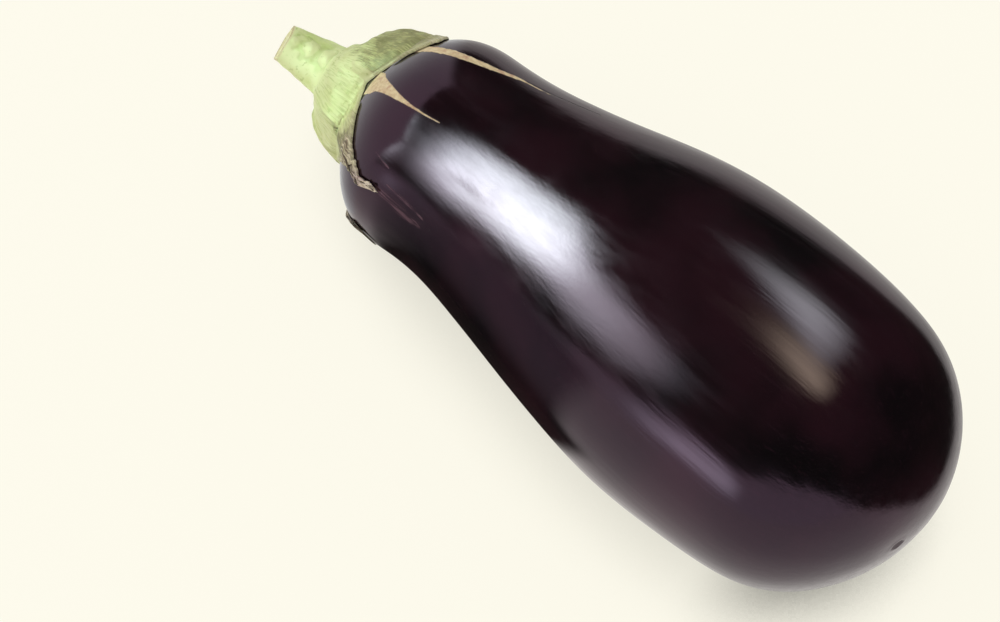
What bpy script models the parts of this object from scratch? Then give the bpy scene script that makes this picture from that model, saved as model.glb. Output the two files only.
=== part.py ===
"""An eggplant as picked, lying on its side: the fruit, and the calyx with its cut stem.

Metres, +Z up. The stem points to -X and the blossom end to +X. The fruit rests on a small flat
spot under its belly, and the origin is at the bottom centre of the whole object's box.

Places on the skin are given by two numbers: an angle round the fruit, 0 on top and 90 degrees on
the +Y side, and a reach, the distance along the skin from the middle of the stem end.
"""

import collections
import math

import bmesh
import bpy
import numpy as np

# Fruit, in metres. A station is a distance along X from the stem end, and the radius there.
FRUIT_LENGTH = 0.198
STEM_END_ROUNDING = 0.017
BLOSSOM_END_ROUNDING = 0.045
GIRTH_STATIONS = (
    (0.0136, 0.0249),
    (0.0338, 0.0309),
    (0.0596, 0.0339),
    (0.0940, 0.0413),
    (0.1283, 0.0450),
    (0.1616, 0.0428),
    (0.1818, 0.0347),
)
SIDE_BOW = 0.0043
AXIS_RISE_AT_STEM = 0.078
AXIS_RISE_AT_BLOSSOM = 0.168
FLAT_SPOT_DEPTH = 0.0006
# Gentle lobes of the girth: how many, share of the radius, and angle of the first in degrees.
GIRTH_LOBES = ((2, 0.012, 60.0), (3, 0.008, 20.0), (5, 0.004, 56.0))

# Calyx, in metres and degrees. A lobe is fleshy out to one reach, and a thin dry sepal from there to
# its tip. With a bluntness of 1 a side is straight, more is rounder, and less draws out a thin tip.
# Each lobe has one for the side before its tip and one for the side after it, up to its notch.
Lobe = collections.namedtuple(
    "Lobe", "tip_angle reach fleshy_reach blunt_before blunt_after lift notch_angle notch_reach"
)
LOBES = (
    Lobe(48, 0.0325, 0.0275, 1.6, 1.6, 0.0004, 84, 0.0195),
    Lobe(120, 0.0385, 0.0260, 1.1, 1.1, 0.0008, 152, 0.0190),
    Lobe(184, 0.0360, 0.0240, 1.2, 1.2, 0.0004, 216, 0.0200),
    Lobe(250, 0.0480, 0.0200, 0.80, 0.50, 0.0004, 264, 0.0190),
    Lobe(302, 0.0476, 0.0200, 0.34, 0.47, 0.0006, 352, 0.0165),
)
CALYX_GAP = 0.0004
CALYX_EDGE = 0.0008
CALYX_COLLAR = 0.0098
COLLAR_REACH = 0.0085
THINNING = 0.7

# Stem, in metres, and its bend away from the fruit's axis in degrees.
STEM_FOOT = 0.0105
STEM_LENGTH = 0.0160
STEM_FOOT_RADIUS = 0.0080
STEM_CUT_RADIUS = 0.0053
STEM_BEND = 28.0
STEM_BEND_TOWARDS = -28.0
STEM_RIDGES = 5
STEM_RIDGE_HEIGHT = 0.00035
CUT_HOLLOW = 0.0005

# How finely each surface is divided
FRUIT_SIDES = 64
FRUIT_RINGS = 44
CALYX_SIDES = 90
SHELL_RINGS = 9
FILLET_RINGS = 5
STEM_RINGS = 5
CUT_RINGS = 2
INNER_RINGS = 7
POLE_RINGS = 2
SHARP_EDGE = 50.0

# Materials: colour, and roughness
SKIN = ((0.012, 0.005, 0.008, 1.0), 0.22)
CALYX = ((0.50, 0.62, 0.24, 1.0), 0.6)


def smooth_through(stations):
    """A natural cubic spline through (place, value) pairs, as a function of arrays."""
    place, value = (np.array(column, float) for column in zip(*stations))
    gap = np.diff(place)
    count = len(place)
    matrix = np.eye(count)
    right = np.zeros(count)
    for i in range(1, count - 1):
        matrix[i, i - 1: i + 2] = gap[i - 1], 2 * (gap[i - 1] + gap[i]), gap[i]
        right[i] = 6 * ((value[i + 1] - value[i]) / gap[i] - (value[i] - value[i - 1]) / gap[i - 1])
    bend = np.linalg.solve(matrix, right)

    def at(where):
        where = np.asarray(where, float)
        i = np.clip(np.searchsorted(place, where) - 1, 0, count - 2)
        before = where - place[i]
        after = place[i + 1] - where
        curve = (bend[i] * after**3 + bend[i + 1] * before**3) / (6 * gap[i])
        start = (value[i] / gap[i] - bend[i] * gap[i] / 6) * after
        end = (value[i + 1] / gap[i] - bend[i + 1] * gap[i] / 6) * before
        return curve + start + end

    return at


def fullness_curve():
    """The radius divided by that of a round-ended spindle, so that both ends close smoothly."""
    points = [(0.0, math.sqrt(STEM_END_ROUNDING * FRUIT_LENGTH / 2))]
    for distance, radius in GIRTH_STATIONS:
        share = distance / FRUIT_LENGTH
        points.append((share, radius / (2 * math.sqrt(share * (1 - share)))))
    points.append((1.0, math.sqrt(BLOSSOM_END_ROUNDING * FRUIT_LENGTH / 2)))
    return smooth_through(points)


fullness = fullness_curve()


def girth(turn):
    """Mean radius where turn runs from 0 at the stem end to pi at the blossom end."""
    return np.sin(turn) * fullness((1 - np.cos(turn)) / 2)


def axis_point(along):
    """The fruit's bent middle line, for distances along X from the stem end."""
    share = along / FRUIT_LENGTH
    side = SIDE_BOW * (1 - (2 * share - 1) ** 2)
    rise = AXIS_RISE_AT_STEM + (AXIS_RISE_AT_BLOSSOM - AXIS_RISE_AT_STEM) * share / 2
    return np.stack([along, side, along * rise], axis=-1)


def axis_frame(along):
    """Unit vectors along the middle line, to its +Y side and to its top."""
    share = along / FRUIT_LENGTH
    side_slope = -4 * SIDE_BOW / FRUIT_LENGTH * (2 * share - 1)
    rise = AXIS_RISE_AT_STEM + (AXIS_RISE_AT_BLOSSOM - AXIS_RISE_AT_STEM) * share
    forward = np.stack([np.ones_like(share), side_slope, rise], axis=-1)
    forward /= np.linalg.norm(forward, axis=-1, keepdims=True)
    side = np.cross([0.0, 0.0, 1.0], forward)
    side /= np.linalg.norm(side, axis=-1, keepdims=True)
    return forward, side, np.cross(forward, side)


def skin(turn, angle):
    """Points of the skin. turn and angle are arrays of one shape, in radians."""
    along = FRUIT_LENGTH * (1 - np.cos(turn)) / 2
    lobed = 1 + sum(share * np.cos(n * (angle - math.radians(first))) for n, share, first in GIRTH_LOBES)
    radius = (girth(turn) * lobed)[..., None]
    _, side, top = axis_frame(along)
    return axis_point(along) + radius * (np.cos(angle)[..., None] * top + np.sin(angle)[..., None] * side)


def skin_normal(turn, angle):
    """Outward unit normals of the skin, away from its two ends."""
    step = 1e-4
    down = skin(turn + step, angle) - skin(turn - step, angle)
    across = skin(turn, angle + step) - skin(turn, angle - step)
    normal = np.cross(down, across)
    return normal / np.linalg.norm(normal, axis=-1, keepdims=True)


def turn_at_reach():
    """A function from reach along the skin to turn."""
    turns = np.linspace(0, math.pi, 4000)
    along = FRUIT_LENGTH * (1 - np.cos(turns)) / 2
    reach = np.concatenate([[0], np.cumsum(np.hypot(np.diff(along), np.diff(girth(turns))))])
    return lambda wanted: np.interp(wanted, reach, turns)


turn_of = turn_at_reach()


def calyx_edge(angle):
    """At each angle: the reach of the calyx's edge, the reach of its fleshy part, and the edge's lift."""
    degrees = np.degrees(angle) % 360
    reach, fleshy, lift = np.zeros((3, *degrees.shape))
    for lobe, before in zip(LOBES, LOBES[-1:] + LOBES[:-1]):
        from_tip = (degrees - lobe.tip_angle + 180) % 360 - 180
        for side, notch, blunt in ((1, lobe, lobe.blunt_after), (-1, before, lobe.blunt_before)):
            width = side * (notch.notch_angle - lobe.tip_angle) % 360
            here = (side * from_tip >= 0) & (side * from_tip <= width)
            share = 1 - np.clip(np.abs(from_tip) / width, 0, 1) ** blunt
            low = notch.notch_reach
            reach = np.where(here, low + (lobe.reach - low) * share, reach)
            fleshy = np.where(here, low + (lobe.fleshy_reach - low) * share, fleshy)
            lift = np.where(here, lobe.lift * share**2, lift)
    return reach, fleshy, lift


def calyx_shell(share, angle, outer):
    """Points of the calyx from its collar, at share 0, to its edge, at share 1."""
    edge, fleshy, edge_lift = calyx_edge(angle)
    reach = COLLAR_REACH + (edge - COLLAR_REACH) * share
    height = CALYX_GAP + edge_lift * share**3
    if outer:
        flesh = np.clip((fleshy - reach) / (fleshy - COLLAR_REACH), 0, 1) ** THINNING
        height = height + CALYX_EDGE + (CALYX_COLLAR - CALYX_EDGE) * flesh
    turn = turn_of(reach)
    return skin(turn, angle) + height[..., None] * skin_normal(turn, angle)


def stem_ring(share, angle):
    """Points round the stem, from its foot at share 0 to its cut end at share 1."""
    forward, side, top = (v[0] for v in axis_frame(np.zeros(1)))
    towards = math.radians(STEM_BEND_TOWARDS)
    bend_way = math.cos(towards) * top + math.sin(towards) * side
    bend = math.radians(STEM_BEND) * share
    length = STEM_LENGTH * share
    if share > 0:
        middle = -forward * length * math.sin(bend) / bend + bend_way * length * (1 - math.cos(bend)) / bend
    else:
        middle = np.zeros(3)
    start = axis_point(np.zeros(1))[0] - forward * STEM_FOOT
    out = np.cos(angle)[:, None] * top + np.sin(angle)[:, None] * side
    tilt = (math.cos(bend) - 1) * bend_way + math.sin(bend) * forward
    out = out + (out @ bend_way)[:, None] * tilt
    radius = STEM_FOOT_RADIUS + (STEM_CUT_RADIUS - STEM_FOOT_RADIUS) * share
    ridged = radius + STEM_RIDGE_HEIGHT * np.cos(STEM_RIDGES * angle)
    return start + middle, out, ridged


def calyx_rings():
    """Rings of points from the middle of the cut end, over the calyx and back under it."""
    angle = np.linspace(0, 2 * math.pi, CALYX_SIDES, endpoint=False)
    _, out, radius = stem_ring(1.0, angle)
    hollow, _, _ = stem_ring(1.0 - CUT_HOLLOW / STEM_LENGTH, angle)
    rings = [hollow + out * (radius * (i + 1) / (CUT_RINGS + 1))[:, None] for i in range(CUT_RINGS)]
    for share in np.linspace(1, 0, STEM_RINGS):
        middle, out, radius = stem_ring(share, angle)
        rings.append(middle + out * radius[:, None])
    foot = rings[-1]
    foot_way = rings[-1] - rings[-2]
    collar = calyx_shell(np.zeros_like(angle), angle, True)
    collar_way = calyx_shell(np.full_like(angle, 1 / SHELL_RINGS), angle, True) - collar
    span = np.linalg.norm(collar - foot, axis=1, keepdims=True)
    foot_way *= span / np.linalg.norm(foot_way, axis=1, keepdims=True)
    collar_way *= span / np.linalg.norm(collar_way, axis=1, keepdims=True)
    for s in np.linspace(0, 1, FILLET_RINGS + 1)[1:]:
        from_foot = (2 * s**3 - 3 * s**2 + 1) * foot + (s**3 - 2 * s**2 + s) * foot_way
        rings.append(from_foot + (3 * s**2 - 2 * s**3) * collar + (s**3 - s**2) * collar_way)
    for share in np.linspace(0, 1, SHELL_RINGS)[1:]:
        rings.append(calyx_shell(np.full_like(angle, share), angle, True))
    for share in np.linspace(1, 0, INNER_RINGS):
        rings.append(calyx_shell(np.full_like(angle, share), angle, False))
    for reach in np.linspace(COLLAR_REACH, 0, POLE_RINGS + 2)[1:-1]:
        turn = turn_of(np.full_like(angle, reach))
        rings.append(skin(turn, angle) + CALYX_GAP * skin_normal(turn, angle))
    forward = axis_frame(np.zeros(1))[0][0]
    return hollow, rings, axis_point(np.zeros(1))[0] - forward * CALYX_GAP


def fruit_rings():
    """Rings of skin points between the two ends, and the ends themselves."""
    angle = np.linspace(0, 2 * math.pi, FRUIT_SIDES, endpoint=False)
    turns = np.linspace(0, math.pi, FRUIT_RINGS + 2)[1:-1]
    rings = [skin(np.full_like(angle, turn), angle) for turn in turns]
    first, last = axis_point(np.array([0.0, FRUIT_LENGTH]))
    return first, rings, last


def closed_mesh(first, rings, last):
    """A bmesh whose faces join each ring to the next, with a point at both ends."""
    mesh = bmesh.new()
    rows = [[mesh.verts.new(point) for point in ring] for ring in rings]
    start = mesh.verts.new(first)
    end = mesh.verts.new(last)
    count = len(rows[0])
    for i in range(count):
        j = (i + 1) % count
        mesh.faces.new((start, rows[0][i], rows[0][j]))
        mesh.faces.new((end, rows[-1][j], rows[-1][i]))
        for row, below in zip(rows, rows[1:]):
            mesh.faces.new((row[i], below[i], below[j], row[j]))
    bmesh.ops.recalc_face_normals(mesh, faces=mesh.faces)
    return mesh


def cut_flat(mesh, height):
    """Cuts away what lies below a height and closes the cut with one flat face."""
    cut = bmesh.ops.bisect_plane(
        mesh,
        geom=mesh.verts[:] + mesh.edges[:] + mesh.faces[:],
        plane_co=(0, 0, height),
        plane_no=(0, 0, -1),
        clear_outer=True,
    )
    border = [item for item in cut["geom_cut"] if isinstance(item, bmesh.types.BMEdge)]
    bmesh.ops.contextual_create(mesh, geom=border)
    bmesh.ops.triangulate(mesh, faces=mesh.faces[:])
    bmesh.ops.recalc_face_normals(mesh, faces=mesh.faces)


def material(name, colour, roughness):
    made = bpy.data.materials.new(name)
    made.use_nodes = True
    shader = made.node_tree.nodes["Principled BSDF"]
    shader.inputs["Base Color"].default_value = colour
    shader.inputs["Roughness"].default_value = roughness
    shader.inputs["Metallic"].default_value = 0.0
    return made


def add_object(name, mesh, made_of):
    data = bpy.data.meshes.new(name)
    mesh.to_mesh(data)
    mesh.free()
    data.materials.append(made_of)
    data.shade_smooth()
    data.set_sharp_from_angle(angle=math.radians(SHARP_EDGE))
    item = bpy.data.objects.new(name, data)
    bpy.context.scene.collection.objects.link(item)
    return item


def main():
    for item in list(bpy.data.objects):
        bpy.data.objects.remove(item)
    fruit = closed_mesh(*fruit_rings())
    calyx = closed_mesh(*calyx_rings())
    floor = min(vert.co.z for vert in fruit.verts) + FLAT_SPOT_DEPTH
    cut_flat(fruit, floor)
    bmesh.ops.triangulate(calyx, faces=calyx.faces[:])
    corners = np.array([vert.co for mesh in (fruit, calyx) for vert in mesh.verts])
    middle = (corners.min(0) + corners.max(0)) / 2
    for mesh in (fruit, calyx):
        bmesh.ops.translate(mesh, verts=mesh.verts, vec=(-middle[0], -middle[1], -floor))
    add_object("fruit", fruit, material("dark_purple_skin", *SKIN))
    add_object("calyx_and_stem", calyx, material("green_calyx", *CALYX))


main()
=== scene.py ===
"""An eggplant lying on a pale floor: its glossy skin and its green calyx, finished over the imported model.

Metres, +Z up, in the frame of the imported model. The stem points to -X and the blossom end to +X.

Places on the skin are given by two numbers: an angle round the fruit, 0 on top and 90 degrees on
the +Y side, and a reach, the distance along the skin from the middle of the stem end.
"""

import collections
import math

import bpy
import numpy as np
from mathutils import Matrix, Vector


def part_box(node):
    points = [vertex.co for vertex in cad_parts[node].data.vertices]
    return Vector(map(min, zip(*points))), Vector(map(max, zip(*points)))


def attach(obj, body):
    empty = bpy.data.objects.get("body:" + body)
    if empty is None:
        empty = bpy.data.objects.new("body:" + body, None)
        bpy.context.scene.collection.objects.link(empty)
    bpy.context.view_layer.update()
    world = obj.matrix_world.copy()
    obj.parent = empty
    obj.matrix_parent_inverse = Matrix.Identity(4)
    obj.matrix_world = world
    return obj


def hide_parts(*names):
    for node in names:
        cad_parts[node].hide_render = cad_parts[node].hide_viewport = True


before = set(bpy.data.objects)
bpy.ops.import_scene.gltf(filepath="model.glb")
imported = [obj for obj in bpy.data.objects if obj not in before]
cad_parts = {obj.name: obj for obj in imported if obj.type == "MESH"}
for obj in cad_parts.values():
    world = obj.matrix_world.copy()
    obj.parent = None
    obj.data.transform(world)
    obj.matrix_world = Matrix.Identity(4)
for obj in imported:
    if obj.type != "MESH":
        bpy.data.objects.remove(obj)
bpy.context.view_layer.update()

# The photograph's camera: where it looks from, in degrees, and how far and how long its lens is.
CAMERA_AIM = Vector((-0.01011, -0.02714, 0.03947))
CAMERA_AZIMUTH = 43.363
CAMERA_ELEVATION = 66.640
CAMERA_DISTANCE = 1.1
CAMERA_LENS = 148.52
CAMERA_SENSOR = 36.0

# Fruit, in metres. A station is a distance along X from the stem end, and the radius there.
FRUIT_LENGTH = 0.198
STEM_END_ROUNDING = 0.017
BLOSSOM_END_ROUNDING = 0.045
GIRTH_STATIONS = (
    (0.0136, 0.0249), (0.0338, 0.0309), (0.0596, 0.0339), (0.0940, 0.0413),
    (0.1283, 0.0450), (0.1616, 0.0428), (0.1818, 0.0347),
)
SIDE_BOW = 0.0043
AXIS_RISE_AT_STEM = 0.078
AXIS_RISE_AT_BLOSSOM = 0.168
GIRTH_LOBES = ((2, 0.012, 60.0), (3, 0.008, 20.0), (5, 0.004, 56.0))

# Where the tips lie of the two lobes that show best: one dries pale and curls, one is nearly black
PALE_TIP = 302
DARK_TIP = 250

# Calyx, in metres and degrees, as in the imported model, but with one tip drawn finer. The last two
# numbers are the reach where a lobe starts to dry, and the reach where it is brown.
Lobe = collections.namedtuple(
    "Lobe", "tip_angle reach fleshy_reach blunt_before blunt_after lift notch_angle notch_reach dries brown"
)
LOBES = (
    Lobe(48, 0.0325, 0.0275, 1.6, 1.6, 0.0004, 84, 0.0195, 0.0120, 0.0305),
    Lobe(120, 0.0385, 0.0260, 1.1, 1.1, 0.0008, 152, 0.0190, 0.0160, 0.0330),
    Lobe(184, 0.0360, 0.0240, 1.2, 1.2, 0.0004, 216, 0.0200, 0.0180, 0.0330),
    Lobe(DARK_TIP, 0.0480, 0.0200, 0.80, 0.50, 0.0004, 264, 0.0190, 0.0200, 0.0240),
    Lobe(PALE_TIP, 0.0476, 0.0200, 0.32, 0.42, 0.0006, 352, 0.0165, 0.0200, 0.0285),
)
CALYX_GAP = 0.0004
CALYX_EDGE = 0.0008
CALYX_COLLAR = 0.0098
COLLAR_REACH = 0.0085
THINNING = 0.7
LIP = 0.0007
RIM_GAP = 0.00012
LIFT_SHARE = 0.4

# How far the thin tips curl sideways: the angle of a tip, its width in degrees, and the swing in
# degrees at some reaches
CURLS = (
    (48, 12.0, ((0.0285, 0.0), (0.0325, -7.0))),
    (DARK_TIP, 14.0, ((0.0170, 0.0), (0.0230, -11.0), (0.0310, -10.0), (0.0355, 5.0),
                      (0.0400, 15.0), (0.0440, 14.0), (0.0480, 7.0))),
    (PALE_TIP, 7.0, ((0.0340, 0.0), (0.0385, -1.0), (0.0415, -2.6), (0.0435, 1.0),
                     (0.0455, 1.4), (0.0476, -1.8))),
)

# Relief of the real calyx over its smooth form, in metres
RIB_HEIGHT = 0.0005
NOTCH_DIP = 0.0004
SHOULDER_DIP = 0.0015
SHOULDER_RISE = 0.0004
KNOB_RISE = 0.0007
KNOB_HEIGHT = 0.0005

# How finely the two surfaces are divided
FRUIT_SIDES = 512
FRUIT_RINGS = 420
CALYX_SIDES = 1080
CUT_RINGS = 14
STEM_RINGS = 40
FILLET_RINGS = 18
SHELL_RINGS = 64
INNER_RINGS = 12
POLE_RINGS = 2

# Stem, in metres, and its bend away from the fruit's axis in degrees.
STEM_FOOT = 0.0105
STEM_LENGTH = 0.0160
STEM_FOOT_RADIUS = 0.0080
STEM_CUT_RADIUS = 0.0053
STEM_BEND = 28.0
STEM_BEND_TOWARDS = -28.0
STEM_RIDGES = 5
STEM_RIDGE_HEIGHT = 0.00035
CUT_HOLLOW = 0.0005


def linear(red, green, blue):
    """A colour given 0 to 255 as on a screen, as the shader's own numbers."""
    shares = (red / 255, green / 255, blue / 255)
    return (*(c / 12.92 if c < 0.04045 else ((c + 0.055) / 1.055) ** 2.4 for c in shares), 1.0)


def smooth_through(stations):
    """A natural cubic spline through (place, value) pairs, as a function of arrays."""
    place, value = (np.array(column, float) for column in zip(*stations))
    gap = np.diff(place)
    count = len(place)
    matrix = np.eye(count)
    right = np.zeros(count)
    for i in range(1, count - 1):
        matrix[i, i - 1: i + 2] = gap[i - 1], 2 * (gap[i - 1] + gap[i]), gap[i]
        right[i] = 6 * ((value[i + 1] - value[i]) / gap[i] - (value[i] - value[i - 1]) / gap[i - 1])
    bend = np.linalg.solve(matrix, right)

    def at(where):
        where = np.asarray(where, float)
        i = np.clip(np.searchsorted(place, where) - 1, 0, count - 2)
        before = where - place[i]
        after = place[i + 1] - where
        curve = (bend[i] * after**3 + bend[i + 1] * before**3) / (6 * gap[i])
        start = (value[i] / gap[i] - bend[i] * gap[i] / 6) * after
        end = (value[i + 1] / gap[i] - bend[i + 1] * gap[i] / 6) * before
        return curve + start + end

    return at


def fullness_curve():
    """The radius divided by that of a round-ended spindle, so that both ends close smoothly."""
    points = [(0.0, math.sqrt(STEM_END_ROUNDING * FRUIT_LENGTH / 2))]
    for distance, radius in GIRTH_STATIONS:
        share = distance / FRUIT_LENGTH
        points.append((share, radius / (2 * math.sqrt(share * (1 - share)))))
    points.append((1.0, math.sqrt(BLOSSOM_END_ROUNDING * FRUIT_LENGTH / 2)))
    return smooth_through(points)


fullness = fullness_curve()


def girth(turn):
    """Mean radius where turn runs from 0 at the stem end to pi at the blossom end."""
    return np.sin(turn) * fullness((1 - np.cos(turn)) / 2)


def axis_point(along):
    """The fruit's bent middle line, for distances along X from the stem end."""
    share = along / FRUIT_LENGTH
    side = SIDE_BOW * (1 - (2 * share - 1) ** 2)
    rise = AXIS_RISE_AT_STEM + (AXIS_RISE_AT_BLOSSOM - AXIS_RISE_AT_STEM) * share / 2
    return np.stack([along, side, along * rise], axis=-1)


def axis_frame(along):
    """Unit vectors along the middle line, to its +Y side and to its top."""
    share = along / FRUIT_LENGTH
    side_slope = -4 * SIDE_BOW / FRUIT_LENGTH * (2 * share - 1)
    rise = AXIS_RISE_AT_STEM + (AXIS_RISE_AT_BLOSSOM - AXIS_RISE_AT_STEM) * share
    forward = np.stack([np.ones_like(share), side_slope, rise], axis=-1)
    forward /= np.linalg.norm(forward, axis=-1, keepdims=True)
    side = np.cross([0.0, 0.0, 1.0], forward)
    side /= np.linalg.norm(side, axis=-1, keepdims=True)
    return forward, side, np.cross(forward, side)


def skin(turn, angle):
    """Points of the skin. turn and angle are arrays of one shape, in radians."""
    along = FRUIT_LENGTH * (1 - np.cos(turn)) / 2
    lobed = 1 + sum(share * np.cos(n * (angle - math.radians(first))) for n, share, first in GIRTH_LOBES)
    radius = (girth(turn) * lobed)[..., None]
    _, side, top = axis_frame(along)
    return axis_point(along) + radius * (np.cos(angle)[..., None] * top + np.sin(angle)[..., None] * side)


def skin_normal(turn, angle):
    """Outward unit normals of the skin, away from its two ends."""
    step = 1e-4
    down = skin(turn + step, angle) - skin(turn - step, angle)
    across = skin(turn, angle + step) - skin(turn, angle - step)
    normal = np.cross(down, across)
    return normal / np.linalg.norm(normal, axis=-1, keepdims=True)


def reach_table():
    """Turns, and the reach along the skin at each."""
    turns = np.linspace(0, math.pi, 4000)
    along = FRUIT_LENGTH * (1 - np.cos(turns)) / 2
    steps = np.hypot(np.diff(along), np.diff(girth(turns)))
    return turns, np.concatenate([[0], np.cumsum(steps)])


TURNS, REACHES = reach_table()


def turn_of(reach):
    return np.interp(reach, REACHES, TURNS)


def reach_of(turn):
    return np.interp(turn, TURNS, REACHES)


def to_frame():
    """The shift from the formulas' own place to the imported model's, read from the fruit's box."""
    angle, turn = np.meshgrid(
        np.linspace(0, 2 * math.pi, 64, endpoint=False), np.linspace(0, math.pi, 46)[1:-1]
    )
    ends = axis_point(np.array([0.0, FRUIT_LENGTH]))
    points = np.concatenate([skin(turn.ravel(), angle.ravel()), ends])
    low, high = (np.array(corner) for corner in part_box("fruit"))
    shift = low - points.min(0)
    shift[2] = high[2] - points.max(0)[2]
    return shift


SHIFT = to_frame()


def waves(points, length, seed, count=24):
    """A smooth random field with features of about that length: a sum of plane waves, of unit variance."""
    draw = np.random.default_rng(seed)
    ways = draw.normal(size=(count, 3))
    ways /= np.linalg.norm(ways, axis=1, keepdims=True)
    pace = 2 * math.pi / length * draw.uniform(0.6, 1.5, count)
    phase = draw.uniform(0, 2 * math.pi, count)
    total = sum(np.cos(points @ way * rate + start) for way, rate, start in zip(ways, pace, phase))
    return total / math.sqrt(count / 2)


def bell(distance, width):
    """1 at a distance of 0, falling smoothly to nothing past a few widths."""
    return np.exp(-0.5 * (distance / width) ** 2)


def ease(value):
    """Values from 0 to 1, with a soft start and end."""
    value = np.clip(value, 0, 1)
    return value * value * (3 - 2 * value)


def degrees_between(angle, place):
    """How far angles, in radians, lie from a place in degrees, between -180 and 180."""
    return (np.degrees(angle) - place + 180) % 360 - 180


# Marks on the skin that run lengthwise: (reach, angle in degrees, half width) from end to end.
MARKS = {
    "wedge_scar": (
        (0.0200, 352.0, 0.0040), (0.0250, 352.0, 0.0036), (0.0275, 351.6, 0.0024),
        (0.0310, 350.6, 0.0018), (0.0380, 348.8, 0.0009), (0.0430, 348.4, 0.0004),
        (0.0480, 348.7, 0.0002), (0.0530, 349.8, 0.0001),
    ),
    "long_scar": (
        (0.0260, 29.0, 0.0018), (0.0330, 27.2, 0.0017), (0.0370, 26.8, 0.0016),
        (0.0440, 29.2, 0.0014), (0.0515, 34.2, 0.0010), (0.0565, 38.4, 0.0008),
        (0.0595, 40.2, 0.0005), (0.0615, 40.5, 0.0002), (0.0690, 41.4, 0.0001),
    ),
    "far_scar": (
        (0.0180, 152.0, 0.0036), (0.0230, 151.0, 0.0026), (0.0290, 149.0, 0.0013),
        (0.0360, 148.0, 0.0006), (0.0440, 147.0, 0.0001),
    ),
    "crease": ((0.0600, 41.5, 0.0001), (0.0680, 42.5, 0.0002), (0.0830, 45.4, 0.0001)),
    "scratch_a": (
        (0.0455, 302.0, 0.0002), (0.0490, 301.0, 0.0009), (0.0540, 300.0, 0.0012),
        (0.0590, 299.0, 0.0008), (0.0630, 299.0, 0.0002),
    ),
    "scratch_b": ((0.0490, 307.4, 0.0002), (0.0560, 305.8, 0.0004), (0.0635, 303.8, 0.0002)),
    "scratch_c": ((0.0415, 319.0, 0.0001), (0.0450, 317.2, 0.0003), (0.0475, 315.8, 0.0001)),
    "scratch_d": ((0.0900, 214.0, 0.0001), (0.1050, 217.0, 0.0004), (0.1240, 219.0, 0.0001)),
}
# Past this distance to its side, a mark doesn't show
MARK_SIDE = 0.010
# The shallow hollow near the blossom end: its angle and reach, its depth and its width
DIMPLE = (10.0, 0.1919, 0.0007, 0.0075)
# The corky dot that the flower left: its angle and reach, and its radius
BLOSSOM_SCAR = (222.0, 0.2345, 0.0024)


def mark_fields(turn, angle, line):
    """How far each point lies to the side of a mark's middle line, and the mark's half width there."""
    reach = reach_of(turn)
    places = [place for place, _, _ in line]
    middle = np.interp(reach, places, [a for _, a, _ in line])
    half = np.interp(reach, places, [w for _, _, w in line])
    past = np.maximum(places[0] - reach, reach - places[-1])
    half = np.where(past > 0, -past, half)
    aside = np.radians(degrees_between(angle, middle)) * girth(turn)
    half = np.where(np.abs(aside) > MARK_SIDE, -1.0, half)
    return aside, half


def from_blossom_scar(points):
    """How far points of the fruit's own place lie from the middle of the blossom scar."""
    angle, reach, _ = BLOSSOM_SCAR
    middle = skin(np.array(turn_of(reach)), np.array(math.radians(angle)))
    return np.linalg.norm(points - middle, axis=-1)


def fruit_heights(points, turn, angle):
    """Small rises and hollows of the real skin."""
    reach = reach_of(turn)
    height = 0.00016 * waves(points, 0.060, 3)
    height += 0.000015 * waves(points * (0.30, 1.0, 1.0), 0.011, 4)
    dent_angle, dent_reach, depth, width = DIMPLE
    aside = np.radians(degrees_between(angle, dent_angle)) * girth(turn)
    height -= depth * bell(np.hypot(aside, (reach - dent_reach) * 0.7), width)
    away = from_blossom_scar(points)
    height -= 0.00025 * bell(away, 0.0040)
    height += 0.00008 * bell(away - BLOSSOM_SCAR[2], 0.0006)
    return height


def add_object(name, data):
    item = bpy.data.objects.new(name, data)
    bpy.context.scene.collection.objects.link(item)
    return item


def add_values(mesh, name, values, first, last):
    """Keeps a value for each point of the rings, and one for each of the two end points."""
    attribute = mesh.attributes.new(name, "FLOAT", "POINT")
    attribute.data.foreach_set("value", np.append(values, [first, last]).astype(np.float32))


def ring_mesh(name, first, rings, last):
    """A closed mesh whose faces join each ring to the next, with a point at both ends."""
    rows, sides, _ = rings.shape
    points = np.concatenate([rings.reshape(-1, 3), [first, last]])
    index = np.arange(rows * sides).reshape(rows, sides)
    after = np.roll(index, -1, axis=1)
    quads = np.stack([index[:-1], index[1:], after[1:], after[:-1]], axis=-1).reshape(-1, 4)
    start = np.full(sides, rows * sides)
    fan_in = np.stack([start, index[0], after[0]], axis=-1)
    fan_out = np.stack([start + 1, after[-1], index[-1]], axis=-1)
    faces = quads.tolist() + fan_in.tolist() + fan_out.tolist()
    mesh = bpy.data.meshes.new(name)
    mesh.from_pydata(points.tolist(), [], faces)
    mesh.validate()
    mesh.shade_smooth()
    return mesh


def add_piece(name, mesh, made_of, node):
    """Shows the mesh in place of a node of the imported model."""
    item = add_object(name, mesh)
    mesh.materials.append(made_of)
    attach(item, "root")
    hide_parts(node)


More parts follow.
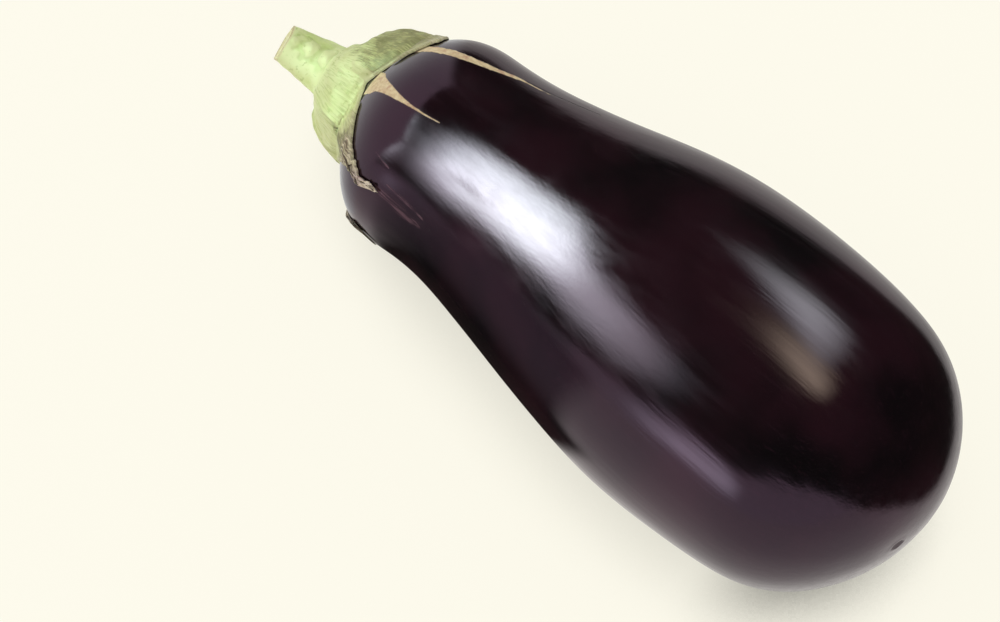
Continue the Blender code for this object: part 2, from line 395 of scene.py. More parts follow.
def fine_fruit():
    """The fruit's fine mesh, flat where it rests, with the marks' places kept as values on its points."""
    turn, angle = np.meshgrid(
        np.linspace(0, math.pi, FRUIT_RINGS + 2)[1:-1],
        np.linspace(0, 2 * math.pi, FRUIT_SIDES, endpoint=False),
        indexing="ij",
    )
    points = skin(turn, angle)
    away = from_blossom_scar(points)
    points = points + fruit_heights(points, turn, angle)[..., None] * skin_normal(turn, angle) + SHIFT
    points[..., 2] = np.maximum(points[..., 2], 0.0)
    first, last = axis_point(np.array([0.0, FRUIT_LENGTH])) + SHIFT
    last = points[-1].mean(0)
    mesh = ring_mesh("eggplant_skin", first, points, last)
    for name, line in MARKS.items():
        aside, half = mark_fields(turn, angle, line)
        add_values(mesh, name + "_aside", aside * 1000, 10, 10)
        add_values(mesh, name + "_half", half * 1000, -1, -1)
    add_values(mesh, "from_blossom", away * 1000, 250, away[-1].mean() * 1000)
    return mesh


def lobe_fields(angle):
    """At each angle: the reach of the calyx's edge and of its flesh, the edge's lift, and a nearness.

    The nearness is 1 at a tip and 0 at a notch.
    """
    degrees = np.degrees(angle) % 360
    reach, fleshy, lift, nearness = np.zeros((4, *degrees.shape))
    for lobe, before in zip(LOBES, LOBES[-1:] + LOBES[:-1]):
        from_tip = (degrees - lobe.tip_angle + 180) % 360 - 180
        for side, notch, blunt in ((1, lobe, lobe.blunt_after), (-1, before, lobe.blunt_before)):
            width = side * (notch.notch_angle - lobe.tip_angle) % 360
            here = (side * from_tip >= 0) & (side * from_tip <= width)
            share = 1 - np.clip(np.abs(from_tip) / width, 0, 1) ** blunt
            low = notch.notch_reach
            reach = np.where(here, low + (lobe.reach - low) * share, reach)
            fleshy = np.where(here, low + (lobe.fleshy_reach - low) * share, fleshy)
            lift = np.where(here, lobe.lift * share**2, lift)
            nearness = np.where(here, share, nearness)
    return reach, fleshy, lift, nearness


def ragged(angle):
    """How far the calyx's edge strays from its smooth outline."""
    circle = np.stack([np.cos(angle), np.sin(angle), np.zeros_like(angle)], axis=-1) * 0.030
    return 0.00022 * waves(circle, 0.0060, 11) + 0.00010 * waves(circle, 0.0022, 12)


def sideways(reach, angle):
    """How far the calyx strays sideways, in radians: curled tips, and frayed sides on the thinnest."""
    total = np.zeros_like(reach)
    for tip, width, swings in CURLS:
        near = bell(degrees_between(angle, tip), width)
        total += near * np.interp(reach, [place for place, _ in swings], [swing for _, swing in swings])
    place = np.stack([reach, np.zeros_like(reach), np.zeros_like(reach)], axis=-1)
    fray = 0.8 * waves(place, 0.0020, 13) * ease((reach - 0.022) / 0.008)
    return np.radians(total + fray * bell(degrees_between(angle, PALE_TIP), 7.0))


def flesh_thickness(reach, fleshy, nearness):
    """How thick the calyx is, from its collar to the dry ends of its lobes. It eases out by a notch."""
    flesh = np.clip((fleshy - reach) / (fleshy - COLLAR_REACH), 0, 1)
    eased = 1 - bell(nearness, 0.22) * (1 - ease(flesh * 8))
    flesh = flesh**THINNING * eased
    return CALYX_EDGE + (CALYX_COLLAR - CALYX_EDGE) * flesh


def calyx_shell(share, angle, outer):
    """Points of the calyx from its collar, at share 0, to its edge, at share 1."""
    edge, fleshy, edge_lift, nearness = lobe_fields(angle)
    edge = edge + ragged(angle)
    reach = COLLAR_REACH + (edge - COLLAR_REACH) * share
    height = CALYX_GAP + (RIM_GAP - CALYX_GAP) * share**4 + LIFT_SHARE * edge_lift * share**6
    if outer:
        into_lip = np.clip(1 - (edge - reach) / LIP, 0, 1)
        papery = 1 - 0.6 * bell(degrees_between(angle, DARK_TIP), 14.0) * ease((reach - 0.020) / 0.004)
        height = height + papery * flesh_thickness(reach, fleshy, nearness) * np.sqrt(1 - into_lip**2)
    turn = turn_of(reach)
    angle = angle + sideways(reach, angle)
    points = skin(turn, angle)
    height = height + fruit_heights(points, turn, angle)
    return points + height[..., None] * skin_normal(turn, angle)


def stem_ring(share, angle):
    """Middle, outward vectors and radii of a ring round the stem, from foot, share 0, to cut end, share 1."""
    forward, side, top = (v[0] for v in axis_frame(np.zeros(1)))
    towards = math.radians(STEM_BEND_TOWARDS)
    bend_way = math.cos(towards) * top + math.sin(towards) * side
    bend = math.radians(STEM_BEND) * share
    length = STEM_LENGTH * share
    if share > 0:
        middle = -forward * length * math.sin(bend) / bend + bend_way * length * (1 - math.cos(bend)) / bend
    else:
        middle = np.zeros(3)
    start = axis_point(np.zeros(1))[0] - forward * STEM_FOOT
    out = np.cos(angle)[:, None] * top + np.sin(angle)[:, None] * side
    tilt = (math.cos(bend) - 1) * bend_way + math.sin(bend) * forward
    out = out + (out @ bend_way)[:, None] * tilt
    radius = STEM_FOOT_RADIUS + (STEM_CUT_RADIUS - STEM_FOOT_RADIUS) * share
    ridged = radius + STEM_RIDGE_HEIGHT * np.cos(STEM_RIDGES * angle)
    return start + middle, out, ridged


def calyx_rings():
    """Rings of points from the middle of the cut end, over the calyx and back under it, with their zones.

    A zone runs from -2 to -1 over the cut face, to 0 down the stem, to 1 over the collar's fillet,
    to 2 over the lobes, and to 3 back under them.
    """
    angle = np.linspace(0, 2 * math.pi, CALYX_SIDES, endpoint=False)
    _, out, radius = stem_ring(1.0, angle)
    hollow, _, _ = stem_ring(1.0 - CUT_HOLLOW / STEM_LENGTH, angle)
    rings = []
    zones = []
    for share in np.linspace(0, 1, CUT_RINGS + 1)[1:-1]:
        rim = np.clip((share - 0.8) / 0.2, 0, 1)
        middle, _, _ = stem_ring(1.0 - CUT_HOLLOW / STEM_LENGTH * (1 - rim), angle)
        rings.append(middle + out * (radius * share)[:, None])
        zones.append(-2 + share)
    for share in np.linspace(1, 0, STEM_RINGS):
        middle, out, radius = stem_ring(share, angle)
        rings.append(middle + out * radius[:, None])
        zones.append(-share)
    foot = rings[-1]
    foot_way = rings[-1] - rings[-2]
    collar = calyx_shell(np.zeros_like(angle), angle, True)
    collar_way = calyx_shell(np.full_like(angle, 0.02), angle, True) - collar
    span = np.linalg.norm(collar - foot, axis=1, keepdims=True)
    foot_way *= span / np.linalg.norm(foot_way, axis=1, keepdims=True)
    collar_way *= span / np.linalg.norm(collar_way, axis=1, keepdims=True)
    for s in np.linspace(0, 1, FILLET_RINGS + 1)[1:]:
        from_foot = (2 * s**3 - 3 * s**2 + 1) * foot + (s**3 - 2 * s**2 + s) * foot_way
        rings.append(from_foot + (3 * s**2 - 2 * s**3) * collar + (s**3 - s**2) * collar_way)
        zones.append(s)
    for share in np.sin(np.linspace(0, math.pi / 2, SHELL_RINGS))[1:]:
        rings.append(calyx_shell(np.full_like(angle, share), angle, True))
        zones.append(1 + share)
    for share in np.linspace(1, 0, INNER_RINGS + 1)[1:]:
        rings.append(calyx_shell(np.full_like(angle, share), angle, False))
        zones.append(3 - share)
    for reach in np.linspace(COLLAR_REACH, 0, POLE_RINGS + 2)[1:-1]:
        turn = turn_of(np.full_like(angle, reach))
        rings.append(skin(turn, angle) + CALYX_GAP * skin_normal(turn, angle))
        zones.append(3.0)
    forward = axis_frame(np.zeros(1))[0][0]
    last = axis_point(np.zeros(1))[0] - forward * CALYX_GAP
    return hollow, np.array(rings), last, np.array(zones), angle


def grid_normals(rings):
    """Outward unit normals of a grid of rings."""
    down = np.gradient(rings, axis=0)
    across = np.roll(rings, -1, axis=1) - np.roll(rings, 1, axis=1)
    normal = np.cross(down, across)
    length = np.linalg.norm(normal, axis=-1, keepdims=True)
    return normal / np.maximum(length, 1e-12)


# Knobs on the stem: share of the stem, angle in degrees, radius in metres, and the rise. A rise of
# KNOB_RISE is the tallest, and stands KNOB_HEIGHT over the stem.
KNOBS = (
    (0.82, 4.0, 0.0012, 0.0003), (0.74, 26.0, 0.0011, 0.0004), (0.48, 8.0, 0.0020, 0.0007),
    (0.45, 46.0, 0.0010, 0.0003), (0.09, 4.0, 0.0019, 0.0007), (0.02, 34.0, 0.0013, 0.0004),
    (0.55, 150.0, 0.0014, 0.0005), (0.25, 200.0, 0.0015, 0.0005),
)


def knob_field(zone, turn):
    """1 on the knobs of the stem, below 0 in the furrows round them."""
    field = np.zeros_like(zone)
    for share, place, width, rise in KNOBS:
        aside = np.radians(degrees_between(turn, place)) * STEM_CUT_RADIUS * 1.2
        away = np.hypot(aside * 0.85, (zone + share) * STEM_LENGTH * 0.75)
        unrolled = np.stack([zone * STEM_LENGTH, aside, np.zeros_like(zone)], axis=-1)
        away *= 1 + 0.10 * waves(unrolled, 0.0028, 31)
        knob = bell(away, width * 0.7) - 0.6 * bell(away - width * 1.5, width * 0.35)
        field += rise / KNOB_RISE * knob
    return field * (zone > -1) * ease((0.5 - zone) / 0.3)


def calyx_heights(rings, zones, angle):
    """Ribs, wrinkles, pits and knobs of the real calyx, over the smooth form."""
    zone, turn = np.meshgrid(zones, angle, indexing="ij")
    edge, fleshy, _, nearness = lobe_fields(turn)
    reach = COLLAR_REACH + (edge - COLLAR_REACH) * np.clip(zone - 1, 0, 1)
    outer = ease((zone + 1.0) / 0.1) * ease((1.97 - zone) / 0.12)
    on_lobe = ease(zone) * outer
    ribs = sum(bell(degrees_between(turn, lobe.tip_angle), 6.0) for lobe in LOBES)
    height = RIB_HEIGHT * ribs * on_lobe
    height -= NOTCH_DIP * bell(nearness, 0.12) * on_lobe
    height -= SHOULDER_DIP * bell(degrees_between(turn, 38), 24) * bell(zone - 1.02, 0.17)
    height += SHOULDER_RISE * bell(degrees_between(turn, 46), 20) * bell(zone - 1.35, 0.12)
    height += 0.00026 * waves(rings, 0.0110, 21) * on_lobe
    height += 0.00007 * waves(rings, 0.0040, 22) * on_lobe
    circle = np.stack([np.cos(turn) * 0.030, np.sin(turn) * 0.030, zone * 0.002], axis=-1)
    height += 0.00003 * waves(circle, 0.0026, 23) * ease((zone - 0.9) * 2) * outer
    on_stem = ease(-zone * 4) * ease((zone + 1) * 8)
    height += 0.00008 * waves(rings, 0.0050, 24) * on_stem
    height = np.maximum(height, -0.4 * flesh_thickness(reach, fleshy, nearness))
    return height + KNOB_HEIGHT * knob_field(zone, turn)


def drying_fields(reach, turn):
    """How olive and how brown the calyx is: 0 fresh to 1 dry, by its lobe and the reach."""
    weights = [bell(degrees_between(turn, lobe.tip_angle), 16.0) + 1e-6 for lobe in LOBES]
    starts = sum(weight * lobe.dries for weight, lobe in zip(weights, LOBES)) / sum(weights)
    ends = sum(weight * lobe.brown for weight, lobe in zip(weights, LOBES)) / sum(weights)
    return (reach - starts) / 0.006, (reach - ends) / 0.005


def fine_calyx():
    """The calyx's fine mesh, with values on its points that place its colours."""
    first, rings, last, zones, angle = calyx_rings()
    rings = rings + calyx_heights(rings, zones, angle)[..., None] * grid_normals(rings)
    mesh = ring_mesh("green_calyx", first + SHIFT, rings + SHIFT, last + SHIFT)
    zone, turn = np.meshgrid(zones, angle, indexing="ij")
    edge, _, _, nearness = lobe_fields(turn)
    reach = COLLAR_REACH + (edge - COLLAR_REACH) * np.clip(zone - 1, 0, 1)
    olive, brown = drying_fields(reach, turn)
    olive -= 1.6 * bell(nearness, 0.2)
    brown -= 1.6 * bell(nearness, 0.2)
    upper = 0.8 * bell(degrees_between(turn, 50), 14.0) * ease((zone + 0.9) * 4) * ease((0.25 - zone) * 3)
    add_values(mesh, "olive", olive, -3, -3)
    add_values(mesh, "brown", brown, -3, -3)
    add_values(mesh, "zone", zone, -2, 3)
    add_values(mesh, "knob", knob_field(zone, turn), 0, 0)
    add_values(mesh, "upper", upper, 0, 0)
    for name, tip, width in (("pale_tip", PALE_TIP, 12.0), ("dark_tip", DARK_TIP, 16.0)):
        add_values(mesh, name, bell(degrees_between(turn, tip), width), 0, 0)
    along = np.concatenate([[0], np.cumsum(np.linalg.norm(np.diff(rings, axis=0), axis=-1).mean(1))])
    along = np.broadcast_to(along[:, None], zone.shape)
    fibre = np.stack([np.cos(turn) * 30, np.sin(turn) * 30, along * 1000], axis=-1).reshape(-1, 3)
    ends = [[0, 0, 0], [0, 0, fibre[-1, 2]]]
    attribute = mesh.attributes.new("fibre_place", "FLOAT_VECTOR", "POINT")
    attribute.data.foreach_set("vector", np.append(fibre, ends).astype(np.float32))
    return mesh


def feed(tree, node, inputs):
    """Fills a node's inputs, by name or number: sockets are linked, values are set."""
    for name, value in dict(inputs).items():
        if isinstance(value, bpy.types.NodeSocket):
            tree.links.new(value, node.inputs[name])
        else:
            node.inputs[name].default_value = value


def add_node(tree, kind, inputs=(), **settings):
    """A shader node with its settings and its inputs."""
    made = tree.nodes.new("ShaderNode" + kind)
    for name, value in settings.items():
        setattr(made, name, value)
    feed(tree, made, inputs)
    return made


def compute(tree, operation, *values):
    return add_node(tree, "Math", enumerate(values), operation=operation).outputs[0]


def times(tree, product, *others):
    for other in others:
        product = compute(tree, "MULTIPLY", product, other)
    return product


def plus(tree, first, second):
    return compute(tree, "ADD", first, second)


def compute_vector(tree, operation, *values):
    made = add_node(tree, "VectorMath", enumerate(values), operation=operation)
    return made.outputs["Value" if operation in ("DOT_PRODUCT", "LENGTH") else "Vector"]


def spread(tree, value, low, high, start=0.0, end=1.0):
    """The value's range from low to high, mapped softly to start and end."""
    inputs = {"Value": value, "From Min": low, "From Max": high, "To Min": start, "To Max": end}
    return add_node(tree, "MapRange", inputs, interpolation_type="SMOOTHSTEP").outputs["Result"]


def mix(tree, factor, first, second, blend="MIX"):
    """A mix of two colours."""
    inputs = {0: factor, 6: first, 7: second}
    return add_node(tree, "Mix", inputs, data_type="RGBA", blend_type=blend).outputs[2]


def noise(tree, place, scale, detail=3.0, roughness=0.5, distortion=0.0):
    inputs = {
        "Vector": place,
        "Scale": scale,
        "Detail": detail,
        "Roughness": roughness,
        "Distortion": distortion,
    }
    return add_node(tree, "TexNoise", inputs, noise_dimensions="3D").outputs["Fac"]


def value_of(tree, name):
    return add_node(tree, "Attribute", attribute_name=name).outputs["Fac"]


def bump(tree, height, distance, normal=None):
    """Relief of that many metres where the height runs from 0 to 1."""
    inputs = {"Height": height, "Distance": distance, "Strength": 1.0}
    if normal is not None:
        inputs["Normal"] = normal
    return add_node(tree, "Bump", inputs).outputs["Normal"]


def new_material(name):
    made = bpy.data.materials.new(name)
    made.use_nodes = True
    return made, made.node_tree, made.node_tree.nodes["Principled BSDF"]


def mark_mask(tree, name, wobble, softness, fray=0.45):
    """1 inside a mark, 0 outside, with its edge frayed by a noise of 0 to 1."""
    aside = compute(tree, "ABSOLUTE", value_of(tree, name + "_aside"))
    inside = compute(tree, "SUBTRACT", value_of(tree, name + "_half"), aside)
    frayed = plus(tree, inside, compute(tree, "MULTIPLY_ADD", wobble, 2 * fray, -fray))
    return spread(tree, frayed, -softness, softness)


def scratch_mask(tree, wobble, long_streaks):
    """1 on the fine scratches, broken up along the streaks of the skin."""
    scratched = mark_mask(tree, "scratch_a", long_streaks, 0.9, 1.2)
    for name in ("scratch_b", "scratch_c", "scratch_d"):
        scratched = compute(tree, "MAXIMUM", scratched, mark_mask(tree, name, wobble, 0.30, 0.4))
    return times(tree, scratched, spread(tree, long_streaks, 0.38, 0.60, 0.15, 1.0))


def scar_mask(tree, wobble):
    """1 on the corky scars that run out from under the calyx."""
    corky = mark_mask(tree, "wedge_scar", wobble, 0.14, 0.16)
    for name in ("long_scar", "far_scar"):
        corky = compute(tree, "MAXIMUM", corky, mark_mask(tree, name, wobble, 0.16, 0.5))
    return corky


def cork_colour(tree, place, wobble):
    """Tan cork with rusty patches."""
    tan = mix(tree, spread(tree, wobble, 0.3, 0.7), linear(192, 170, 128), linear(214, 197, 156))
    rusty = spread(tree, noise(tree, place, 420.0, 3.0, 0.6), 0.48, 0.68, 0.0, 0.75)
    return mix(tree, rusty, tan, linear(176, 136, 108))


def blossom_mask(tree, wobble):
    """1 on the dot that the flower left."""
    from_middle = plus(tree, value_of(tree, "from_blossom"), times(tree, wobble, 1.6))
    return spread(tree, from_middle, 3.4, 2.2)


def skin_material():
    """Glossy skin, near black to aubergine, with fine lengthwise streaks, corky scars and scratches."""
    made, tree, shader = new_material("aubergine_skin")
    place = add_node(tree, "TexCoord").outputs["Object"]
    streaked = compute_vector(tree, "MULTIPLY", place, (0.07, 1.0, 1.0))
    long_streaks = noise(tree, streaked, 1500.0, 2.0)
    broad_streaks = noise(tree, streaked, 420.0, 2.0)
    clouds = noise(tree, place, 28.0)
    pores = noise(tree, place, 1500.0, 2.0)
    wobble = noise(tree, compute_vector(tree, "MULTIPLY", place, (0.4, 1.0, 1.0)), 1100.0, 3.0, 0.6)
    scratched = scratch_mask(tree, wobble, long_streaks)
    corky = scar_mask(tree, wobble)
    blossom = blossom_mask(tree, wobble)
    crease = mark_mask(tree, "crease", wobble, 0.15, 0.2)
    colour = mix(tree, spread(tree, clouds, 0.34, 0.66), linear(9, 8, 8), linear(31, 14, 19))
    colour = mix(tree, spread(tree, long_streaks, 0.55, 0.75, 0.0, 0.35), colour, linear(38, 20, 27))
    colour = mix(tree, times(tree, scratched, 0.28), colour, linear(140, 100, 108))
    colour = mix(tree, corky, colour, cork_colour(tree, place, wobble))
    colour = mix(tree, times(tree, blossom, 0.6), colour, linear(44, 32, 29))
    rough = spread(tree, broad_streaks, 0.3, 0.7, 0.12, 0.20)
    for mask, rougher in ((corky, 0.45), (blossom, 0.4), (scratched, 0.25)):
        rough = plus(tree, rough, times(tree, mask, rougher))
    relief = bump(tree, broad_streaks, 0.000035)
    relief = bump(tree, long_streaks, 0.000014, relief)
    relief = bump(tree, pores, 0.000005, relief)
    bark = times(tree, corky, spread(tree, wobble, 0.2, 0.8, 0.6, 1.0))
    relief = bump(tree, bark, 0.0002, relief)
    relief = bump(tree, compute(tree, "SUBTRACT", 1.0, crease), 0.0002, relief)
    feed(tree, shader, {"Base Color": colour, "Roughness": rough, "Normal": relief})
    feed(tree, shader, {"IOR": 1.5, "Specular Tint": (1.0, 0.62, 0.92, 1.0)})
    return made


# The patterns that the calyx's colours share
Grain = collections.namedtuple("Grain", "place fibre fibres fine_fibres blotches specks clouds patchy")


def calyx_grain(tree):
    """Fibres along the calyx, and blotches, specks and clouds all over it."""
    place = add_node(tree, "TexCoord").outputs["Object"]
    fibre = add_node(tree, "Attribute", attribute_name="fibre_place").outputs["Vector"]
    lengthwise = compute_vector(tree, "MULTIPLY", fibre, (1.0, 1.0, 0.16))
    fibres = noise(tree, lengthwise, 1.1, 3.0, 0.55, 0.3)
    fine_fibres = noise(tree, lengthwise, 3.2, 3.0, 0.55, 0.2)
    blotches = noise(tree, place, 210.0, 3.0, 0.55, 0.2)
    specks = noise(tree, place, 900.0, 3.0, 0.6)
    clouds = noise(tree, place, 90.0)
    by_blotches = compute(tree, "MULTIPLY_ADD", blotches, 2.6, -1.3)
    by_fibres = compute(tree, "MULTIPLY_ADD", fibres, 2.4, -1.2)
    patchy = plus(tree, by_blotches, by_fibres)
    return Grain(place, fibre, fibres, fine_fibres, blotches, specks, clouds, patchy)


def fresh_colour(tree, grain, zone):
    """Pale green flesh, with streaks on the lobes, dark flecks, and green furrows round the stem's knobs."""
    fresh = mix(tree, spread(tree, grain.clouds, 0.35, 0.65), linear(197, 205, 140), linear(213, 218, 166))
    fresh = mix(tree, spread(tree, grain.specks, 0.56, 0.75, 0.0, 0.35), fresh, linear(176, 194, 114))
    on_lobes = spread(tree, zone, 0.1, 1.2)
    fresh = mix(tree, times(tree, on_lobes, 0.45), fresh, linear(176, 172, 122))
    streaks = times(tree, spread(tree, grain.fibres, 0.50, 0.68, 0.0, 0.55), on_lobes)
    fresh = mix(tree, streaks, fresh, linear(150, 158, 96))
    flecks = spread(tree, noise(tree, grain.place, 640.0, 2.0), 0.62, 0.70, 0.0, 0.5)
    fresh = mix(tree, flecks, fresh, linear(148, 158, 92))
    knob = value_of(tree, "knob")
    upper = times(tree, value_of(tree, "upper"), spread(tree, grain.blotches, 0.35, 0.6, 0.35, 1.0))
    furrow = compute(tree, "MAXIMUM", spread(tree, knob, 0.0, -0.5, 0.0, 0.7), upper)
    furrow = times(tree, furrow, spread(tree, knob, 0.7, 0.0))
    return mix(tree, times(tree, furrow, 0.44), fresh, linear(142, 168, 74))


def olive_colour(tree, grain):
    """The lobes as they start to dry."""
    olive = mix(tree, spread(tree, grain.fine_fibres, 0.32, 0.68), linear(100, 94, 50), linear(168, 164, 112))
    return mix(tree, spread(tree, grain.blotches, 0.46, 0.62, 0.0, 0.7), olive, linear(92, 84, 48))


def brown_colour(tree, grain):
    """The dry ends of the lobes, with dark stripes along them."""
    thin = compute_vector(tree, "MULTIPLY", grain.fibre, (1.0, 1.0, 0.10))
    stripes = noise(tree, thin, 1.9, 2.0)
    along = spread(tree, grain.fine_fibres, 0.36, 0.62)
    brown = mix(tree, along, linear(150, 134, 106), linear(200, 188, 158))
    return mix(tree, spread(tree, stripes, 0.53, 0.45, 0.0, 0.9), brown, linear(84, 66, 50))


def with_tips(tree, grain, brown_share, colour):
    """The colour with the pale, pinkish curl of one tip and the nearly black end of another."""
    curl = times(tree, spread(tree, value_of(tree, "brown"), 1.6, 2.4), value_of(tree, "pale_tip"))
    pink = mix(tree, spread(tree, grain.specks, 0.35, 0.65), linear(160, 130, 120), linear(212, 192, 180))
    colour = mix(tree, curl, colour, pink)
    patches = spread(tree, grain.blotches, 0.62, 0.50, 0.1, 0.8)
    burnt = times(tree, brown_share, value_of(tree, "dark_tip"), patches)
    return mix(tree, burnt, colour, linear(52, 38, 30))


def with_edge(tree, grain, zone, colour):
    """The colour with the pale rim of the lobes, and painted shade on their edge and underside."""
    worn = spread(tree, grain.fine_fibres, 0.30, 0.55, 0.4, 1.0)
    not_dark = compute(tree, "SUBTRACT", 1.0, value_of(tree, "dark_tip"))
    rim = times(tree, spread(tree, zone, 1.86, 1.97), 0.38, spread(tree, zone, 2.02, 2.0), worn, not_dark)
    colour = mix(tree, rim, colour, linear(206, 200, 164))
    # Painted shade: the lobes' very edge and underside go dark brown, for the shadow line along the skin
    return mix(tree, spread(tree, zone, 1.996, 2.03), colour, linear(70, 52, 44))


def wood_colour(tree, grain, zone):
    """The cut end of the stem, with a darker ring and a pale pith."""
    wood = mix(tree, spread(tree, grain.specks, 0.35, 0.7), linear(204, 194, 146), linear(222, 220, 182))
    ring = times(tree, spread(tree, zone, -1.14, -1.03), spread(tree, zone, -0.95, -1.0))
    wood = mix(tree, times(tree, ring, 0.5), wood, linear(168, 142, 100))
    pith = spread(tree, zone, -1.55, -1.72)
    return mix(tree, times(tree, pith, 0.6), wood, linear(232, 232, 206))


def calyx_material():
    """Pale green flesh that goes olive, brown and grey as it dries, with fibres and a woody cut."""
    made, tree, shader = new_material("calyx_flesh")
    grain = calyx_grain(tree)
    zone = value_of(tree, "zone")
    olive_share = spread(tree, plus(tree, value_of(tree, "olive"), grain.patchy), -0.1, 1.1)
    brown_share = spread(tree, plus(tree, value_of(tree, "brown"), grain.patchy), -0.2, 0.9)
    colour = fresh_colour(tree, grain, zone)
    colour = mix(tree, times(tree, olive_share, 0.85), colour, olive_colour(tree, grain))
    colour = mix(tree, brown_share, colour, brown_colour(tree, grain))
    colour = with_tips(tree, grain, brown_share, colour)
    colour = with_edge(tree, grain, zone, colour)
    cut = spread(tree, zone, -0.94, -0.985)
    colour = mix(tree, cut, colour, wood_colour(tree, grain, zone))
    rough = spread(tree, grain.specks, 0.3, 0.7, 0.5, 0.66)
    relief = bump(tree, times(tree, grain.fibres, olive_share), 0.00012)
    relief = bump(tree, times(tree, grain.fine_fibres, olive_share), 0.00012, relief)
    relief = bump(tree, grain.clouds, 0.0003, relief)
    relief = bump(tree, grain.blotches, 0.00016, relief)
    relief = bump(tree, grain.specks, 0.00005, relief)
    feed(tree, shader, {"Base Color": colour, "Roughness": rough, "Normal": relief})
    feed(tree, shader, {"Subsurface Weight": 0.1, "Subsurface Radius": (0.003, 0.004, 0.0012)})
    feed(tree, shader, {"Subsurface Scale": 0.5})
    return made


# Studio: the middle that the soft boxes stand round, and each one's azimuth and elevation there in
# degrees, its distance in metres, its half sizes as shares of that, how far it is turned, how soft its
# edge is, and its colour.
STUDIO_MIDDLE = Vector((0.0, 0.0, 0.05))
SoftBox = collections.namedtuple(
    "SoftBox", "name azimuth elevation distance half_width half_height turned soft colour"
)
SOFT_BOXES = (
    SoftBox("key_light", 202.4, 29.1, 0.20, 0.301, 0.222, -21.6, 0.62, (20.0, 32.2, 25.0)),
    SoftBox("key_glow", 217.3, 25.6, 1.06, 0.306, 0.210, 19.6, 0.76, (6.2, 8.6, 7.2)),
    SoftBox("side_light", 101.9, 49.0, 0.78, 0.225, 0.132, -54.6, 0.9, (5.0, 7.6, 5.9)),
    SoftBox("top_light", 88.3, 74.9, 1.02, 0.228, 0.162, 5.0, 0.80, (4.2, 5.2, 2.8)),
    SoftBox("low_light", 262.0, 9.5, 1.00, 0.190, 0.105, 0.0, 0.65, (2.5, 3.2, 3.0)),
)
BACKDROP = linear(254, 251, 237)
# The paper's colour in a mirror, and what makes the floor's own colour that
PAPER = (0.98, 0.95, 0.97, 1.0)
PAPER_TINT = (1.0, 0.99, 1.07, 1.0)
# The dark room that the skin mirrors where there is no paper
ROOM_FOR_GLOSS = (0.026, 0.020, 0.022, 1.0)
ROOM_FOR_MATTE = (0.78, 0.78, 0.78, 1.0)
# The share of the floor's light that is its own, how near a thing has to be to shade it, and how
# crowded the floor is where the shade is full and where it ends
FLOOR_GLOW = 0.92
SHADE_REACH = 0.040
CROWDING = (0.28, 0.74)
# Where the floor's shade is faint and where it is full, along X, and how faint
SHADE_FULL = (0.066, 0.092)
SHADE_FAINT = 0.24
SUN_STRENGTH = 0.75
SUN_FROM = (-0.45, -0.35, 0.82)
SUN_SPREAD = 50.0
FLOOR_SIZE = 6.0
# The pale paper that the skin mirrors. On the floor it ends at two straight lines, each given by the way
# across it and its distance, and on one side it fades far off.
PAPER_LINES = (((0.857, 0.514, 0.0), 0.158), ((0.2425, 0.970, 0.0), 0.079))
PAPER_EDGE = 0.012
PAPER_FADE = (0.62, 0.18)
PAPER_SHADE = 0.64
# On the other side it rises, up to three slanting edges: how each one's height grows along X and Y, and
# the height where it starts.
RISE_RIGHT = ((0.607, -1.382, 0.0), -0.905)
RISE_LEFT = ((0.401, -1.497, 0.0), -0.893)
RISE_CAP = ((0.289, 0.373, 0.0), 0.706)
# Cards that stand on the floor: the lower side of the neck mirrors the dark one, and the shoulder the
# pale one by the stem. Each has two corners, a height, how soft its ends and its top are, its colour,
# and the two heights between which it goes from nearly black to that colour.
Card = collections.namedtuple("Card", "name start end height soft_end soft_top colour lit_from")
CARDS = (
    Card("dark_card", (-0.066, -0.054), (0.017, -0.069), 0.070, 0.014, 0.006,
         (0.36, 0.29, 0.34), (0.010, 0.058)),
    Card("pale_card", (-0.077, 0.035), (-0.077, -0.055), 0.0945, 0.012, 0.002, (1.0, 1.02, 1.0), None),
)
# The dark strip of floor before the dark card: its ends along X and along Y, and how soft they are
DARK_STRIP = ((-0.068, 0.024), (-0.085, 0.010), 0.012)
# The soft boxes' corners: 2 would be an ellipse, and more is squarer
BOX_ROUNDNESS = 2.5


def card_material(name):
    """A card's material with no shader yet, and the place on the card, split into X, Y and Z."""
    made = bpy.data.materials.new(name)
    made.use_nodes = True
    made.cycles.emission_sampling = "NONE"
    tree = made.node_tree
    tree.nodes.clear()
    place = add_node(tree, "TexCoord").outputs["Object"]
    return made, tree, add_node(tree, "SeparateXYZ", {0: place})


def soft_light(box):
    """A glow with soft round edges, brightest in the middle of its card, clear outside."""
    made, tree, apart = card_material(box.name)
    shares = []
    for axis in ("X", "Y"):
        share = compute(tree, "ABSOLUTE", apart.outputs[axis])
        shares.append(compute(tree, "POWER", share, BOX_ROUNDNESS))
    away = compute(tree, "POWER", plus(tree, *shares), 1 / BOX_ROUNDNESS)
    lit = spread(tree, away, 1 + box.soft, 1 - box.soft)
    glow = add_node(tree, "Emission", {"Color": (*box.colour, 1.0), "Strength": lit})
    clear = add_node(tree, "BsdfTransparent")
    both = add_node(tree, "AddShader", {0: glow.outputs[0], 1: clear.outputs[0]})
    add_node(tree, "OutputMaterial", {"Surface": both.outputs[0]})
    return made


def add_sheet(name, corners, made_of):
    """A flat sheet of the studio."""
    mesh = bpy.data.meshes.new(name)
    mesh.from_pydata(corners, [], [(0, 1, 2, 3)])
    mesh.materials.append(made_of)
    sheet = add_object(name, mesh)
    return sheet


def add_card(name, corners, made_of):
    """A sheet that only mirroring surfaces see."""
    card = add_sheet(name, corners, made_of)
    for ray in ("camera", "diffuse", "shadow", "transmission"):
        setattr(card, "visible_" + ray, False)
    return card


